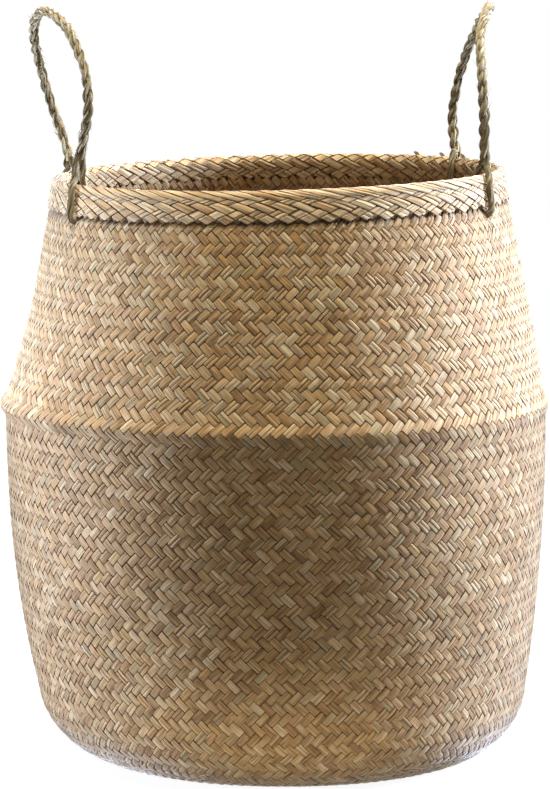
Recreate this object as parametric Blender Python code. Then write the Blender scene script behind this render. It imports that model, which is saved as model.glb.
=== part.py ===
"""Belly basket: a plaited seagrass basket whose neck folds down into its belly, with two rope handles.

Sizes are in metres and +Z is up. The origin is the centre of the flat base, on the surface that the
basket stands on. The front faces -Y, so the left handle is at -X and the right handle at +X.
"""

import math

import bmesh
import bpy
from mathutils import Vector

# Running gap between neighbouring pieces
CLEARANCE = 0.0003

# Base and belly
PLAIT_THICKNESS = 0.003
BASE_RADIUS = 0.138
HEEL_RADIUS = 0.1795
HEEL_HEIGHT = 0.046
BELLY_RADIUS = 0.1978
WAIST_HEIGHT = 0.2585
HEEL_FULLNESS_SHARE = 1.24
BELLY_FULLNESS_SHARE = 2.4

# Waist crease
CREASE_HEIGHT = 0.016
CREASE_PROUD = 0.0024

# Neck and rim border
NECK_RADIUS = 0.1625
RIM_HEIGHT = 0.427
BORDER_HEIGHT = 0.0235
BORDER_PLY = 0.0015
BORDER_TOP_PLY = 0.0027
BORDER_CAP = 0.003
BORDER_ROUNDING = 0.0015
POINT_HEIGHT = 0.006
BORDER_POINTS = 74

# Rope handles
ROPE_RADIUS = 0.004
STRAND_RADIUS = 0.0025
STRAND_DROP = 0.0075
LEFT_RISE = 0.1165
LEFT_LEAN = 0.03
LEFT_FRONT_ANGLE = math.radians(-27.5)
LEFT_BACK_ANGLE = math.radians(17)
RIGHT_RISE = 0.1165
RIGHT_LEAN = 0.03
RIGHT_FRONT_ANGLE = math.radians(-24.5)
RIGHT_BACK_ANGLE = math.radians(32.5)

# A loop's points from its front foot to its back foot: the place along the line through its feet as a
# share of half the distance between them, the height over its feet as a share of its rise, and the
# way outwards as a share of its lean.
LEFT_LOOP_SHARES = (
    (1.04, 0.18, -0.14),
    (1.13, 0.42, -0.30),
    (1.06, 0.62, -0.26),
    (0.79, 0.83, 0.02),
    (0.35, 0.96, 0.39),
    (-0.14, 0.99, 0.73),
    (-0.59, 0.89, 0.89),
    (-0.94, 0.65, 0.72),
    (-1.09, 0.40, 0.39),
    (-1.08, 0.17, 0.06),
)
RIGHT_LOOP_SHARES = (
    (1.02, 0.15, -0.09),
    (1.07, 0.38, -0.12),
    (0.98, 0.61, -0.14),
    (0.69, 0.80, -0.12),
    (0.35, 0.94, 0.12),
    (-0.09, 0.99, 0.34),
    (-0.53, 0.87, 0.27),
    (-0.90, 0.62, 0.04),
    (-1.08, 0.33, -0.14),
    (-1.04, 0.12, -0.12),
)

# Fineness of the round shapes
TURN_STEPS = 74
HEEL_STEPS = 5
BELLY_STEPS = 6
CREASE_STEPS = 4
BEND_STEPS = 8
LOOP_STEPS = 4
ROUND_END_ANGLES = tuple(math.radians(degrees) for degrees in (80, 55, 28))

# Places that follow from the sizes
CREASE_LOW = WAIST_HEIGHT - CREASE_HEIGHT / 2
CREASE_HIGH = WAIST_HEIGHT + CREASE_HEIGHT / 2
BORDER_LOW = RIM_HEIGHT - BORDER_HEIGHT
NECK_SLOPE = (BELLY_RADIUS - NECK_RADIUS) / (RIM_HEIGHT - WAIST_HEIGHT)
NECK_WIDTH = PLAIT_THICKNESS * math.hypot(1, NECK_SLOPE)


def neck_face(height):
    """The neck wall's outer radius at a height."""
    return BELLY_RADIUS - NECK_SLOPE * (height - WAIST_HEIGHT)


def border_face(height):
    """The rim border's outer radius at a height: its ply thickens evenly from its points to its top."""
    rise = (height - BORDER_LOW) / BORDER_HEIGHT
    ply = BORDER_PLY + (BORDER_TOP_PLY - BORDER_PLY) * rise
    return neck_face(height) + CLEARANCE + ply


def border_back(height):
    """The rim border's inner radius at a height."""
    return neck_face(height) - NECK_WIDTH - CLEARANCE - BORDER_PLY


RIM_MIDDLE = (border_face(RIM_HEIGHT) + border_back(RIM_HEIGHT)) / 2
FOOT_HEIGHT = RIM_HEIGHT + CLEARANCE + ROPE_RADIUS


def plait_material(name, colour, roughness):
    material = bpy.data.materials.new(name)
    material.use_nodes = True
    shader = material.node_tree.nodes["Principled BSDF"]
    shader.inputs["Base Color"].default_value = (*colour, 1)
    shader.inputs["Roughness"].default_value = roughness
    shader.inputs["Metallic"].default_value = 0
    return material


def add_object(name, data, material, parent=None, place=(0, 0, 0)):
    piece = bpy.data.objects.new(name, data)
    bpy.context.scene.collection.objects.link(piece)
    data.materials.append(material)
    piece.parent = parent
    piece.location = place
    return piece


def mesh_from(name, bm):
    bmesh.ops.recalc_face_normals(bm, faces=bm.faces)
    mesh = bpy.data.meshes.new(name)
    bm.to_mesh(mesh)
    bm.free()
    mesh.shade_smooth()
    mesh.set_sharp_from_angle(angle=math.radians(35))
    return mesh


def shell_section(outer, first_normal, last_normal, thickness):
    """The closed section of a wall from its outer line, listed upwards, and its thickness.

    It runs down the outer side and up the inner side, as a turned section has to.
    """
    inner = []
    for i, (radius, height) in enumerate(outer):
        if i == 0:
            normal = Vector(first_normal)
        elif i == len(outer) - 1:
            normal = Vector(last_normal)
        else:
            along = Vector(outer[i + 1]) - Vector(outer[i - 1])
            normal = Vector((along.y, -along.x)).normalized()
        inner.append((radius - normal.x * thickness, height - normal.y * thickness))
    return list(reversed(outer)) + inner


def turned(name, section, material, parent=None):
    """A closed section turned round the Z axis."""
    mesh = bpy.data.meshes.new(name)
    count = len(section)
    edges = [(i, (i + 1) % count) for i in range(count)]
    mesh.from_pydata([(radius, 0, height) for radius, height in section], edges, [])
    piece = add_object(name, mesh, material, parent)
    screw = piece.modifiers.new("turn", "SCREW")
    screw.angle = math.tau
    screw.steps = TURN_STEPS
    screw.render_steps = TURN_STEPS
    screw.use_merge_vertices = True
    screw.merge_threshold = CLEARANCE / 30
    return piece


def make_base_mat(material):
    bm = bmesh.new()
    bmesh.ops.create_cone(
        bm,
        cap_ends=True,
        segments=TURN_STEPS,
        radius1=BASE_RADIUS,
        radius2=BASE_RADIUS,
        depth=PLAIT_THICKNESS,
    )
    bmesh.ops.translate(bm, verts=bm.verts, vec=(0, 0, PLAIT_THICKNESS / 2))
    return add_object("base_mat", mesh_from("base_mat", bm), material)


def make_heel_wall(material):
    """The rounded heel, where the plait turns up from the base."""
    start = BASE_RADIUS + CLEARANCE
    outer = []
    for i in range(HEEL_STEPS + 1):
        turn = math.pi / 2 * i / HEEL_STEPS
        out = math.sin(turn) ** HEEL_FULLNESS_SHARE
        up = 1 - math.cos(turn) ** HEEL_FULLNESS_SHARE
        outer.append((start + (HEEL_RADIUS - start) * out, HEEL_HEIGHT * up))
    section = shell_section(outer, (0, -1), (1, 0), PLAIT_THICKNESS)
    return turned("heel_wall", section, material)


def make_belly_wall(material):
    """The lower wall, which swells from the heel up to the waist."""
    low = HEEL_HEIGHT + CLEARANCE
    high = CREASE_LOW - CLEARANCE
    outer = []
    for i in range(BELLY_STEPS + 1):
        share = i / BELLY_STEPS
        left = (1 - share) ** BELLY_FULLNESS_SHARE
        radius = BELLY_RADIUS - (BELLY_RADIUS - HEEL_RADIUS) * left
        outer.append((radius, low + (high - low) * share))
    section = shell_section(outer, (1, 0), (1, 0), PLAIT_THICKNESS)
    return turned("belly_wall", section, material)


def make_waist_crease(material):
    """The bent line at the widest place, a ridge that stands a little proud of the belly and the neck."""
    outer = []
    for i in range(CREASE_STEPS + 1):
        height = CREASE_LOW + CREASE_HEIGHT * i / CREASE_STEPS
        base = min(BELLY_RADIUS, neck_face(height))
        across = 2 * i / CREASE_STEPS - 1
        outer.append((base + CREASE_PROUD * math.cos(math.pi / 2 * across) ** 2, height))
    section = shell_section(outer, (1, 0), (1, 0), PLAIT_THICKNESS)
    return turned("waist_crease", section, material)


def strand_route(angle, side):
    """The middle line of a foot strand: down outside the border, through the wall and up inside it."""
    reach = STRAND_RADIUS + CLEARANCE
    outside = border_face(BORDER_LOW) + reach
    inside = border_back(BORDER_LOW) - reach
    middle = (outside + inside) / 2
    half = (outside - inside) / 2
    line = [(border_face(RIM_HEIGHT) + reach, RIM_HEIGHT)]
    for i in range(BEND_STEPS + 1):
        turn = math.pi * i / BEND_STEPS
        line.append((middle + half * math.cos(turn), BORDER_LOW - STRAND_DROP * math.sin(turn)))
    line.append((border_back(RIM_HEIGHT) - reach, RIM_HEIGHT))
    return [on_rim(angle, side, radius, height) for radius, height in line]


def on_rim(angle, side, radius, height):
    """A point at an angle from the handle's side of the basket, positive to the back."""
    return Vector((side * radius * math.cos(angle), radius * math.sin(angle), height))


def tube_curve(name, points, radius, widths=None, resolution=2):
    """A round tube with closed ends along a line of points. widths are shares of the radius."""
    curve = bpy.data.curves.new(name, "CURVE")
    curve.dimensions = "3D"
    curve.bevel_depth = radius
    curve.bevel_resolution = resolution
    curve.use_fill_caps = True
    spline = curve.splines.new("POLY")
    spline.points.add(len(points) - 1)
    for i, point in enumerate(points):
        spline.points[i].co = (*point, 1)
        spline.points[i].radius = widths[i] if widths else 1
    return curve


def make_neck_wall(material, routes):
    """The upper wall, a plain cone, with a hole for each foot strand just under the border."""
    low = CREASE_HIGH + CLEARANCE
    high = RIM_HEIGHT - BORDER_CAP - CLEARANCE
    outer = [(neck_face(height), height) for height in (low, (low + high) / 2, high)]
    inner = [(radius - NECK_WIDTH, height) for radius, height in outer]
    wall = turned("neck_wall", list(reversed(outer)) + inner, material)
    for i, route in enumerate(routes):
        curve = tube_curve(f"hole_{i}", route, STRAND_RADIUS + CLEARANCE)
        guide = bpy.data.objects.new(f"hole_guide_{i}", curve)
        bpy.context.scene.collection.objects.link(guide)
        depsgraph = bpy.context.evaluated_depsgraph_get()
        mesh = bpy.data.meshes.new_from_object(guide.evaluated_get(depsgraph))
        bpy.data.objects.remove(guide)
        cutter = bpy.data.objects.new(f"hole_cutter_{i}", mesh)
        bpy.context.scene.collection.objects.link(cutter)
        cutter.hide_render = True
        cutter.display_type = "WIRE"
        cut = wall.modifiers.new(f"hole_{i}", "BOOLEAN")
        cut.operation = "DIFFERENCE"
        cut.object = cutter
    return wall


def make_rim_border(material, parent):
    """The folded-over band: a cap with an outer and an inner lip, both with a pointed lower edge."""
    cavity_top = RIM_HEIGHT - BORDER_CAP
    shoulder = RIM_HEIGHT - BORDER_ROUNDING
    columns = 2 * BORDER_POINTS
    bm = bmesh.new()
    rings = []
    for i in range(columns):
        low = BORDER_LOW + POINT_HEIGHT * (i % 2)
        section = (
            (border_face(RIM_HEIGHT) - BORDER_ROUNDING, RIM_HEIGHT),
            (border_face(shoulder), shoulder),
            (border_face(low), low),
            (neck_face(low) + CLEARANCE, low),
            (neck_face(cavity_top) + CLEARANCE, cavity_top),
            (neck_face(cavity_top) - NECK_WIDTH - CLEARANCE, cavity_top),
            (neck_face(low) - NECK_WIDTH - CLEARANCE, low),
            (border_back(low), low),
            (border_back(shoulder), shoulder),
            (border_back(RIM_HEIGHT) + BORDER_ROUNDING, RIM_HEIGHT),
        )
        turn = math.tau * i / columns
        way = (math.cos(turn), math.sin(turn))
        rings.append([bm.verts.new((r * way[0], r * way[1], z)) for r, z in section])
    for i, ring in enumerate(rings):
        following = rings[(i + 1) % columns]
        for j in range(len(ring)):
            k = (j + 1) % len(ring)
            bm.faces.new((ring[j], ring[k], following[k], following[j]))
    bmesh.ops.triangulate(bm, faces=bm.faces)
    return add_object("rim_border", mesh_from("rim_border", bm), material, parent)


def smooth_line(points, steps):
    """Points on the smooth curve through the given ones, with that many steps between neighbours."""
    line = []
    for i in range(len(points) - 1):
        before = points[max(i - 1, 0)]
        start = points[i]
        end = points[i + 1]
        after = points[min(i + 2, len(points) - 1)]
        for step in range(steps):
            t = step / steps
            line.append(
                0.5
                * (
                    2 * start
                    + (end - before) * t
                    + (2 * before - 5 * start + 4 * end - after) * t**2
                    + (3 * start - before - 3 * end + after) * t**3
                )
            )
    line.append(points[-1])
    return line


def make_handle_rope(name, side, front_angle, back_angle, rise, lean, shares, material, parent):
    """A rope loop that stands on the border with a rounded foot at each end.

    Its origin is the middle of the line through its feet, the line that it swings about.
    """
    front = on_rim(front_angle, side, RIM_MIDDLE, FOOT_HEIGHT)
    back = on_rim(back_angle, side, RIM_MIDDLE, FOOT_HEIGHT)
    middle = (front + back) / 2
    half = (front - back) / 2
    outward = Vector((side * abs(half.y), side * -half.x * math.copysign(1, half.y), 0)).normalized()
    up = Vector((0, 0, 1))
    points = [half]
    for along_share, rise_share, lean_share in shares:
        points.append(half * along_share + up * rise * rise_share + outward * lean * lean_share)
    points.append(-half)
    line = smooth_line(points, LOOP_STEPS)
    start = [line[0] - up * ROPE_RADIUS * math.sin(angle) for angle in ROUND_END_ANGLES]
    end = [line[-1] - up * ROPE_RADIUS * math.sin(angle) for angle in reversed(ROUND_END_ANGLES)]
    narrowing = [math.cos(angle) for angle in ROUND_END_ANGLES]
    widths = narrowing + [1] * len(line) + narrowing[::-1]
    curve = tube_curve(name, start + line + end, ROPE_RADIUS, widths, resolution=3)
    return add_object(name, curve, material, parent, middle)


def main():
    for old in list(bpy.data.objects):
        bpy.data.objects.remove(old)
    carrier = bpy.data.objects.new("rim_carrier", None)
    bpy.context.scene.collection.objects.link(carrier)
    make_base_mat(plait_material("base_mat", (0.46, 0.35, 0.21), 0.75))
    make_heel_wall(plait_material("heel_wall", (0.49, 0.37, 0.23), 0.72))
    make_belly_wall(plait_material("belly_wall", (0.52, 0.40, 0.25), 0.7))
    make_waist_crease(plait_material("waist_crease", (0.60, 0.48, 0.32), 0.7))
    feet = {
        "left_front": (LEFT_FRONT_ANGLE, -1),
        "left_back": (LEFT_BACK_ANGLE, -1),
        "right_front": (RIGHT_FRONT_ANGLE, 1),
        "right_back": (RIGHT_BACK_ANGLE, 1),
    }
    routes = {name: strand_route(*place) for name, place in feet.items()}
    make_neck_wall(plait_material("neck_wall", (0.64, 0.53, 0.36), 0.7), routes.values())
    make_rim_border(plait_material("rim_border", (0.70, 0.57, 0.38), 0.7), carrier)
    for name, route in routes.items():
        strand = tube_curve(f"{name}_strand", route, STRAND_RADIUS)
        material = plait_material(f"{name}_strand", (0.34, 0.30, 0.17), 0.75)
        add_object(f"{name}_strand", strand, material, carrier)
    make_handle_rope(
        "left_handle_rope",
        -1,
        LEFT_FRONT_ANGLE,
        LEFT_BACK_ANGLE,
        LEFT_RISE,
        LEFT_LEAN,
        LEFT_LOOP_SHARES,
        plait_material("left_handle_rope", (0.42, 0.38, 0.24), 0.75),
        carrier,
    )
    make_handle_rope(
        "right_handle_rope",
        1,
        RIGHT_FRONT_ANGLE,
        RIGHT_BACK_ANGLE,
        RIGHT_RISE,
        RIGHT_LEAN,
        RIGHT_LOOP_SHARES,
        plait_material("right_handle_rope", (0.42, 0.38, 0.24), 0.75),
        carrier,
    )


main()
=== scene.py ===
"""Visual model of the belly basket: plaited seagrass strips, a folded border and twisted rope handles.

Sizes are in metres and +Z is up. The front faces -Y. The plait is laid out on one square lattice of
strips: the flat base in the middle, and the wall, unrolled, outside it.
"""

import math

import bpy
import numpy as np
from bpy.props import FloatProperty, FloatVectorProperty, IntProperty, PointerProperty
from mathutils import Matrix, Vector

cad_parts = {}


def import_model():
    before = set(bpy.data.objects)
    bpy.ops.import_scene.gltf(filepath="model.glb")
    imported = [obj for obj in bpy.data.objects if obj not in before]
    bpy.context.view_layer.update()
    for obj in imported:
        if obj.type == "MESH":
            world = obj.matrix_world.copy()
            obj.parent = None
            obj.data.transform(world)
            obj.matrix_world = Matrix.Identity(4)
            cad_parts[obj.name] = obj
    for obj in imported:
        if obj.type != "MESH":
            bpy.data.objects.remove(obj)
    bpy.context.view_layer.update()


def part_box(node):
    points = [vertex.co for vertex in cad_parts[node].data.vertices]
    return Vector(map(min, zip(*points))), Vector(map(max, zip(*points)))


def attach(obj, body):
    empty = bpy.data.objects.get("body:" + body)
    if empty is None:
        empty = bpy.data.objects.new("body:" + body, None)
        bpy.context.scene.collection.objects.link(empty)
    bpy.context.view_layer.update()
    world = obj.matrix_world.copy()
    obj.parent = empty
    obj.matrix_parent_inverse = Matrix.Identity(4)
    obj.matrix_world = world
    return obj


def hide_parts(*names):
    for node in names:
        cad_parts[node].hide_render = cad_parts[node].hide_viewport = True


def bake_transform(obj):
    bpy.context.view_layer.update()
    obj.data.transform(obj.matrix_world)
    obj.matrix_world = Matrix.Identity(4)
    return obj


bl_info = {
    "name": "Belly Basket",
    "version": (1, 0, 0),
    "blender": (4, 5, 0),
    "location": "3D View > Sidebar > Basket",
    "description": "Plaits a seagrass belly basket with a folded border and rope handles",
    "category": "Add Mesh",
}

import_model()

# Sizes taken from the frame
_, BASE_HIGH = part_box("base_mat")
_, HEEL_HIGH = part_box("heel_wall")
_, BELLY_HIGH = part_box("belly_wall")
CREASE_LOW, CREASE_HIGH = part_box("waist_crease")
BORDER_LOW, BORDER_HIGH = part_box("rim_border")
WAIST_HEIGHT = (CREASE_LOW.z + CREASE_HIGH.z) / 2
RIM_HEIGHT = BORDER_HIGH.z

# The belly's shape, as in the solids
HEEL_FULLNESS_SHARE = 1.24
BELLY_FULLNESS_SHARE = 2.4
MOUTH_RADIUS = 0.1625
NECK_SLOPE = (BELLY_HIGH.x - MOUTH_RADIUS) / (RIM_HEIGHT - WAIST_HEIGHT)

# The lattice: half the side of the base's square in strips, strips round the wall, strips in which the
# twill repeats, rows of crossings from the base to the waist, and lattice squares over which the base's
# wider spacing settles into the wall's
HALF_SIDE = 18.5
ROUND = 8 * HALF_SIDE
TWILL = 4
ROWS_TO_WAIST = 63.5
SETTLING = 2

# How far out a strip lies, as a share of the weave's depth: at its first and last crossing, in the middle
# of a float, and at both ends of the short dive from one side to the other
END_HEIGHT = 1.05
FLOAT_HEIGHT = 1.32
DIVE_HEIGHT = 0.9
DIVE_START, DIVE_END = 0.39, 0.61

# Each strip and straw has a mark from 0 to this, so that no two have the same pattern
MARKS = 40
# Smaller than any size or share that matters here
TINY = 1e-6

# The wall's unevenness: size of each wave, waves round the wall, turn at the floor and turn up to the rim
WALL_WAVES = ((0.0007, 3, 3.74, 4), (0.0004, 7, 1.9, -9))
# How much lower the middle of the leaning rim lies than in the solids
RIM_DROP = 0.0006
# How far under the waist and over it its push to the left reaches, the middle and the reach of the
# neck's hollow, and the reach of the heel's and the waist's shift, all as shares of their own height
POUT_UNDER, POUT_OVER = 0.02, 0.09
HOLLOW_MIDDLE, HOLLOW_REACH = 0.28, 0.16
HEEL_REACH, WAIST_REACH = 0.45, 0.2
# How fast the waves grow over the floor, and where over the rim they end and how fast they fade there
WAVES_GROW, WAVES_END, WAVES_FADE = 6, 1.15, 4
# Share of its height up to which the basket settles: a little over the rim, for what stands on it
SETTLED_TO = 1.1

# Heights on the neck between which it is cut into bands, and the share of that height at the edges of its
# bands
FOLD_LOW = 0.275
FOLD_HIGH = BORDER_LOW.z
FOLD_SHARES = (0, 0.04, 0.14, 0.3, 0.5, 0.7, 0.86, 0.96, 1)

# How far the wall's plait goes up under the border
PLAIT_TUCK = 0.0078
# Pieces that the belly's plait is cut into, from the heel to the crease
BELLY_PARTS = 4
# Angles, in degrees from the right, of loose strip ends that stand up behind the rim
LOOSE_ENDS = (48.7, 39.4, 30.5)

# Handle feet, angles in degrees from the handle's side, positive to the back
FOOT_HEIGHT = 0.4313
FOOT_RADIUS = 0.161567
LOOP_RISE = 0.1165
LOOP_LEAN = 0.03
LEFT_FEET = (-27.5, 17)
RIGHT_FEET = (-24.5, 32.5)
# How far over its foot each rope's two plies part, front and back
LEFT_CROTCHES = (0.010, 0.001)
RIGHT_CROTCHES = (0.0035, 0.003)
# A loop's points from its front foot to its back foot: along the line through its feet as a share of
# half the distance between them, up as a share of its rise, and outwards as a share of its lean
LEFT_LOOP_SHARES = (
    (1.04, 0.18, -0.14),
    (1.13, 0.42, -0.28),
    (1.06, 0.62, -0.22),
    (0.79, 0.82, 0.04),
    (0.35, 0.94, 0.39),
    (-0.14, 0.97, 0.73),
    (-0.59, 0.87, 0.89),
    (-0.94, 0.65, 0.75),
    (-1.09, 0.40, 0.48),
    (-1.08, 0.17, 0.18),
)
RIGHT_LOOP_SHARES = (
    (1.02, 0.15, -0.01),
    (1.07, 0.38, -0.05),
    (0.98, 0.61, -0.07),
    (0.69, 0.80, -0.02),
    (0.35, 0.93, 0.22),
    (-0.09, 0.975, 0.44),
    (-0.53, 0.86, 0.34),
    (-0.90, 0.62, 0.08),
    (-1.08, 0.33, -0.12),
    (-1.04, 0.12, -0.12),
)
# Steps between neighbouring points of a loop and of a foot's ply
LOOP_STEPS, PLY_STEPS = 24, 12
# A foot's ply, down outside the border, through the wall and up inside: the height at which the neck's
# face is taken, how far outside that face the ply's middle lies, its height, and its degrees aslant
PLY_PATH = (
    (0.432, 0.0020, 0.4325, 0.6),
    (0.426, 0.0042, 0.4265, 1.6),
    (0.420, 0.0049, 0.4200, 2.6),
    (0.410, 0.0047, 0.4100, 3.0),
    (BORDER_LOW.z, 0.0037, 0.4045, 3.4),
    (BORDER_LOW.z, 0.0010, 0.4005, 3.8),
    (BORDER_LOW.z, -0.0045, 0.4012, 3.0),
    (BORDER_LOW.z, -0.0083, 0.4055, 2.0),
    (0.412, -0.0089, 0.4120, 1.0),
    (0.422, -0.0089, 0.4220, 0.0),
    (0.427, -0.0066, 0.4275, 0.0),
    (0.432, -0.0038, 0.4325, 0.0),
)
# How much each end's ply slants, and which way round
PLY_SLANTS = {"front": -1, "back": 1.3}
# Where a ply joins its rope: how far over and under the rope's end its first and last points lie, and how
# far outside and inside the rope's middle they are there
JOINT_RISE = 0.003
JOINT_OUT = (0.0012, 0.0024)
# What is added to the seed for each rope and for the plies at its ends
ROPE_SEED = 10
PLY_SEEDS = {"front": 20, "back": 22}

# Lamps: name, place, the two sides of its rectangle, power, colour and the place that it faces
COOL, WARM = (0.89, 1.0, 1.26), (1.0, 0.9, 0.72)
BASKET_MIDDLE = (0, 0, 0.25)
LAMPS = (
    ("left_lamp", (-1.1, 0.05, 0.15), (0.35, 0.22), 15.6, COOL, BASKET_MIDDLE),
    ("right_lamp", (1.9, 0.45, 0.85), (0.6, 0.7), 90, COOL, BASKET_MIDDLE),
    ("top_lamp", (0, -0.2, 2.8), (0.7, 0.7), 82, WARM, BASKET_MIDDLE),
    ("front_lamp", (0.3, -1.3, 2.3), (0.7, 0.7), 13, WARM, BASKET_MIDDLE),
    ("low_lamp", (0, -0.245, 0.008), (0.5, 0.014), 0.11, WARM, (0, 0, 0.008)),
)


def colour(name, description, default):
    return FloatVectorProperty(
        name=name, description=description, subtype="COLOR", size=3, min=0, max=1, default=default
    )


def length(name, description, default):
    return FloatProperty(name=name, description=description, unit="LENGTH", precision=5, default=default)


def share(name, description, default):
    return FloatProperty(name=name, description=description, subtype="FACTOR", default=default)


def count(name, description, default):
    return IntProperty(name=name, description=description, default=default)


class PlaitSizes(bpy.types.PropertyGroup):
    """Sizes of the plaited base and wall."""

    row: length("Row", "Height of one row of crossings on the wall", 0.00395)
    base_pitch: length("Base pitch", "Side of one lattice square in the middle of the base", 0.0083)
    inset: length("Inset", "Depth of the plait's middle under the solids' outer face", 0.0013)
    base_lift: length("Base lift", "How much deeper the plait lies at the base", 0.0007)
    tuck_depth: length("Tuck depth", "How much deeper the plait lies under the border", 0.0024)
    depth: length("Weave depth", "How far a strip lies over or under the plait's middle", 0.0010)
    thickness: length("Thickness", "Thickness of a strip", 0.0010)
    width: share("Width", "Width of a strip as a share of its room", 0.995)
    doubled: share("Doubled", "Share of the strips that are two thin ones side by side", 0.22)
    rim_rise: length("Rim rise", "How much higher the rim is at the back than at the front", 0.005)
    rim_lean: length("Rim lean", "How much higher the rim is at the right than at the left", 0.0078)
    heel_aside: length("Heel aside", "How far the heel sits to the right", 0.0052)
    waist_aside: length("Waist aside", "How far the waist sits to the left", 0.0030)
    hollow: length("Hollow", "How far the middle of the neck is drawn in on the left", 0.0020)
    # Painted light: the neck's strips are lighter in colour by this share, for the brighter light on the
    # upward-facing neck.
    paler: share("Paler", "How much paler the strips are on the neck", 0.3)
    seed: count("Seed", "Start of the random numbers", 7)


class BorderSizes(bpy.types.PropertyGroup):
    """Sizes of the border of folded-over strip ends."""

    points: count("Points", "Points round each edge of the border", 74)
    rows: count("Rows", "Rows of crossings from the outer to the inner points", 14)
    outer: length("Outer gap", "Middle of the outer ply over the neck's outer face", 0.0006)
    inner: length("Inner gap", "Middle of the inner ply under the neck's outer face", 0.0050)
    depth: length("Weave depth", "How far a strip lies over or under the ply's middle", 0.0010)
    thickness: length("Thickness", "Thickness of a strip", 0.0011)
    width: share("Width", "Width of a strip as a share of its room", 0.86)
    doubled: share("Doubled", "Share of the strips that are two thin ones side by side", 0.4)
    inner_height: length("Inner height", "Height of the border inside", 0.0185)
    crowding: share("Crowding", "How much closer the rows lie over the rim than at the points", 0.4)
    bleach: share("Bleach", "Brightness of the border's strips as a share of the plait's", 1.12)


class RopeSizes(bpy.types.PropertyGroup):
    """Sizes of the twisted rope of the handles."""

    lay: length("Lay", "Length of one turn of the rope", 0.0205)
    ply_offset: length("Ply offset", "Distance of each ply's middle from the rope's middle", 0.0013)
    straw_offset: length("Straw offset", "Distance of each straw's middle from its ply's middle", 0.0016)
    straw: length("Straw", "Radius of a straw", 0.00105)
    straws: count("Straws", "Straws round the outside of each ply", 5)
    slope: share("Slope", "Slope by which the right handle stands higher than the left", 0.0068)
    hairs: count("Hairs", "Loose fibre ends on each handle", 40)


class BasketColours(bpy.types.PropertyGroup):
    """Colours of the strips and the rope."""

    straw: colour("Straw", "Most of the strips", (0.60, 0.39, 0.185))
    pale: colour("Pale straw", "The palest strips", (0.82, 0.66, 0.42))
    tan: colour("Tan", "Darker strips", (0.39, 0.24, 0.105))
    brown: colour("Brown", "The darkest, reddish strips", (0.19, 0.095, 0.036))
    red: colour("Reddish straw", "Reddish strips", (0.45, 0.25, 0.13))
    green: colour("Green straw", "Greenish grey strips", (0.40, 0.34, 0.185))
    gold: colour("Gold straw", "Golden strips", (0.61, 0.38, 0.135))
    rope: colour("Rope", "Outside of the rope's straws", (0.50, 0.425, 0.26))
    # This colour is painted shade: it darkens the straws towards the rope's middle, where they meet.
    rope_groove: colour("Rope groove", "Between the rope's straws", (0.07, 0.05, 0.025))
    rope_pale: colour("Pale rope", "The rope's palest straws", (0.70, 0.62, 0.44))


class StageSizes(bpy.types.PropertyGroup):
    """Camera, lamps and floor."""

    distance: length("Camera distance", "Distance of the camera in front of the basket's middle", 2.687)
    height: length("Camera height", "Height of the camera over the floor", 0.6035)
    aside: length("Camera aside", "How far the camera stands to the left", 0.0022)
    pitch: FloatProperty(
        name="Pitch", description="How far the camera looks down", unit="ROTATION", default=0.1262
    )
    lens: FloatProperty(name="Lens", description="Focal length", unit="CAMERA", default=167.9)


def plain_sines(places, rates, phases):
    """A gentle wobble from -1 to 1 along some places, made of a few sines."""
    total = sum(np.sin(places * rate + phase) for rate, phase in zip(rates, phases))
    return total / len(rates)


def directions(line):
    """Directions along a line at its points, each of length 1."""
    along = np.gradient(line, axis=0)
    return along / np.linalg.norm(along, axis=1)[:, None]


def distances(line):
    """How far along a line each of its points is."""
    return np.concatenate([[0], np.cumsum(np.linalg.norm(np.diff(line, axis=0), axis=1))])


def resampled(line, number):
    """The same line with that many evenly spaced points, and how far along it they are."""
    reach = distances(line)
    places = np.linspace(0, reach[-1], number)
    return np.stack([np.interp(places, reach, values) for values in line.T], 1), places


def evenly(line, spacing):
    """The same line with its points about that far apart, and how far along it they are."""
    return resampled(line, max(4, round(distances(line)[-1] / spacing)))


def round_middle(angle, radius, height):
    """Places at an angle round the basket's middle line, at a distance from it and a height."""
    return np.stack([radius * np.cos(angle), radius * np.sin(angle), height], -1)


def turned(turn, first, second):
    """Directions at some angles from a first direction towards a second that is square to it."""
    return np.cos(turn)[..., None] * first + np.sin(turn)[..., None] * second


def spread(shape, *values):
    """One array of the values of a strip's points, each given for every point, by section or only once."""
    return np.stack([np.broadcast_to(value, shape) for value in values], -1)


class Profile:
    """A line as radius and height, and its outward normals."""

    def __init__(self, line, samples):
        self.line, self.reach = resampled(line, samples)
        self.find_normals()

    def find_normals(self):
        along = directions(self.line)
        self.normal = np.stack([along[:, 1], -along[:, 0]], 1)

    def at(self, reach, out):
        """Radius and height at a distance along the line, and that far outside it."""
        found = []
        for values, ways in zip(self.line.T, self.normal.T):
            middle = np.interp(reach, self.reach, values)
            found.append(middle + out * np.interp(reach, self.reach, ways))
        return found


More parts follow.
